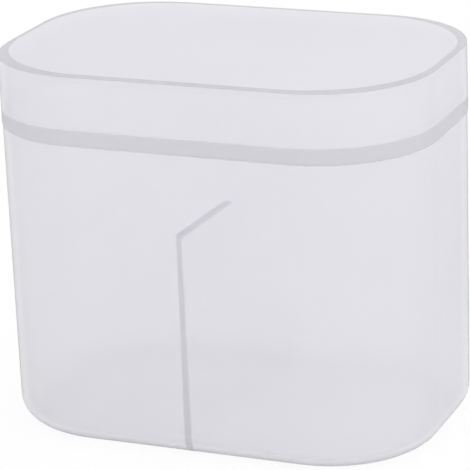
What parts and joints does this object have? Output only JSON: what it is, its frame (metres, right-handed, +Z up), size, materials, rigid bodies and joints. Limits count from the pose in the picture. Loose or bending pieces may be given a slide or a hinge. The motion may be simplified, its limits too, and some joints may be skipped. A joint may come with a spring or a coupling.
{
  "type": "cotton swab box",
  "caption": "Frosted rectangular box with round corners, a sloping partition inside and a lift-off lid, for cotton swabs.",
  "frame": {"origin": "middle of the flat base, on the surface that the box stands on", "axes": "+Z up, X along the length, -Y is the front, where the partition is tall"},
  "size_m": [0.1, 0.067, 0.0848],
  "materials": {
    "tub": "frosted, see-through white polypropylene",
    "partition": "frosted, see-through white polypropylene",
    "lid": "frosted, see-through white polypropylene"
  },
  "bodies": {
    "tub_body": {"tub": "tub", "partition": "partition"},
    "lid_body": {"lid": "lid"}
  },
  "joints": [
    {"name": "lid_lift", "type": "slide", "parent": "tub_body", "child": "lid_body", "axis": [0, 0, 1], "range_m": [0, 0.09]}
  ]
}
